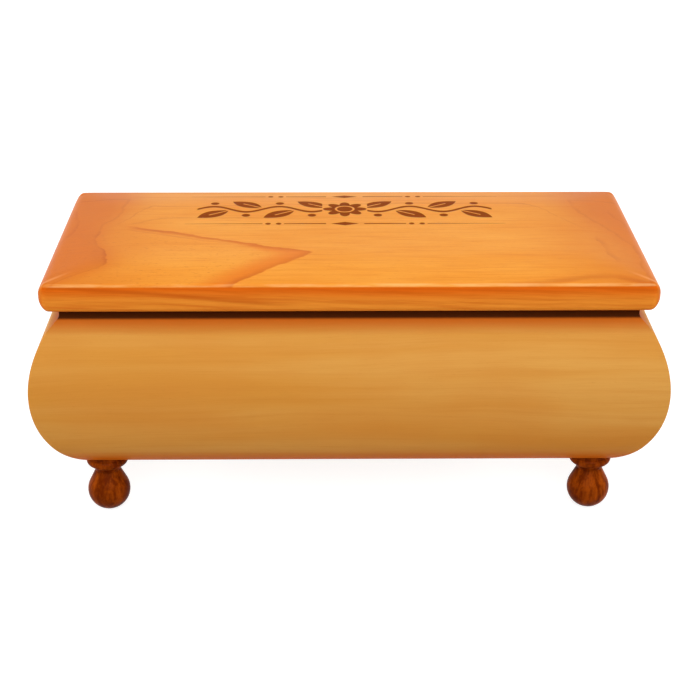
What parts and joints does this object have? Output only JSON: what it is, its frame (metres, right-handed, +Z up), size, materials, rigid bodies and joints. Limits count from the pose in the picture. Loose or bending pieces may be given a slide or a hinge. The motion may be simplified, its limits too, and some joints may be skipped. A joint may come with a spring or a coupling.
{
  "type": "keepsake box",
  "caption": "Wooden keepsake box with swelling mitred sides, an overhanging crowned lid on stop hinges, a lined inside and turned ball feet.",
  "frame": {"origin": "on the floor under the middle of the box: the centre of the bounding box's underside", "axes": "+X along the box to its right end, +Y from the front to the back, +Z up"},
  "size_m": [0.305, 0.1526, 0.1322],
  "materials": {
    "body_wood": "satin lacquered pale alder, straight grain along each wall",
    "lid_wood": "satin lacquered alder with a flat-sawn figure and a burnt ornament",
    "foot_wood": "dark stained and lacquered turned wood",
    "inner_wood": "plain unfinished wood",
    "velvet": "short pile velvet over card and thin foam",
    "felt": "pressed felt",
    "brass": "satin brass plate"
  },
  "bodies": {
    "box": {"front_wall": "body_wood", "back_wall": "body_wood", "left_wall": "body_wood", "right_wall": "body_wood", "bottom_panel": "inner_wood", "corner_blocks": "inner_wood", "foot_front_left": "foot_wood", "foot_front_right": "foot_wood", "foot_back_left": "foot_wood", "foot_back_right": "foot_wood", "foot_screws": "brass", "floor_pad": "velvet", "front_lining": "velvet", "back_lining": "velvet", "left_lining": "velvet", "right_lining": "velvet", "rim_bumpers": "felt", "left_hinge_body_leaf": "brass", "left_hinge_pin": "brass", "right_hinge_body_leaf": "brass", "right_hinge_pin": "brass", "hinge_body_screws": "brass"},
    "lid": {"lid_board": "lid_wood", "lid_pad": "velvet", "left_hinge_lid_leaf": "brass", "right_hinge_lid_leaf": "brass", "hinge_lid_screws": "brass"}
  },
  "joints": [
    {"name": "lid_hinge", "type": "hinge", "parent": "box", "child": "lid", "pos_m": [0, 0.06355, 0.115], "axis": [-1, 0, 0], "range_deg": [0, 100]}
  ]
}
